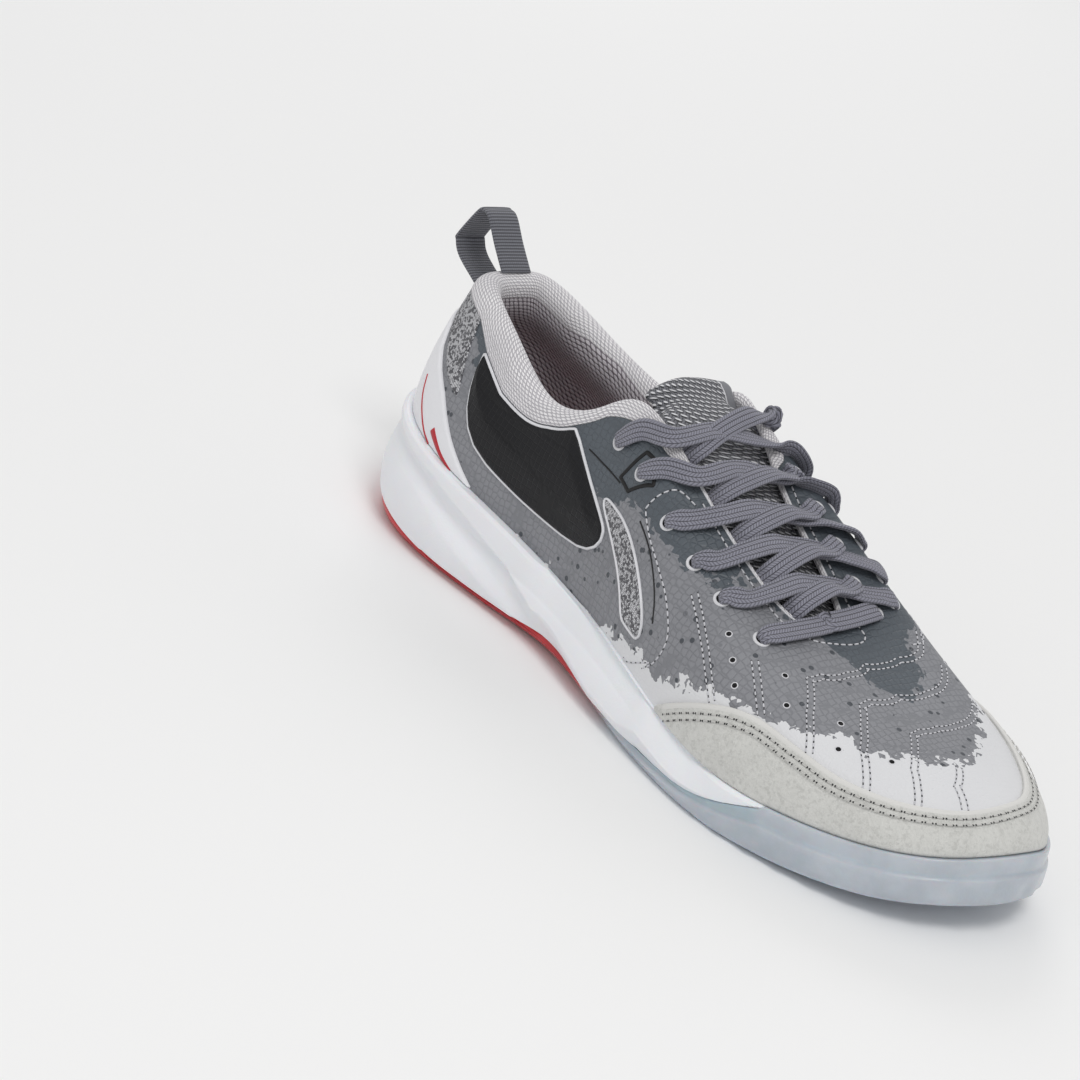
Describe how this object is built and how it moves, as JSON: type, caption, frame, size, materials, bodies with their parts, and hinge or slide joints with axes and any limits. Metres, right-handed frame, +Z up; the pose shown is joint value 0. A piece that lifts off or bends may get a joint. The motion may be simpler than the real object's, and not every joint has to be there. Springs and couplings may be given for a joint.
{
  "type": "indoor soccer shoe",
  "caption": "Low-cut lace-up indoor soccer shoe, right foot: knit collar, printed upper, suede toe cap, foam midsole and translucent herringbone outsole.",
  "frame": {"origin": "middle of the shoe's footprint box, on the floor plane that heel and forefoot stand on", "axes": "+X from heel to toe, +Z up, -Y towards the outer (lateral) side of this right shoe"},
  "size_m": [0.3036, 0.1046, 0.1063],
  "materials": {
    "ice_rubber": "translucent, satin",
    "white_foam": "matte moulded foam",
    "grey_upper": "printed matte film over textile",
    "pale_suede": "suede",
    "white_panel": "smooth synthetic, satin",
    "grey_mesh": "knitted mesh",
    "red_foam": "brushed textile on foam",
    "grey_lace": "woven",
    "grey_webbing": "woven"
  },
  "bodies": {
    "root": {"outsole": "ice_rubber", "midsole": "white_foam", "upper": "grey_upper", "insole": "red_foam", "tongue": "grey_mesh", "toe_cap": "pale_suede", "heel_counter": "white_panel", "laces": "grey_lace", "pull_loop": "grey_webbing"}
  },
  "joints": []
}
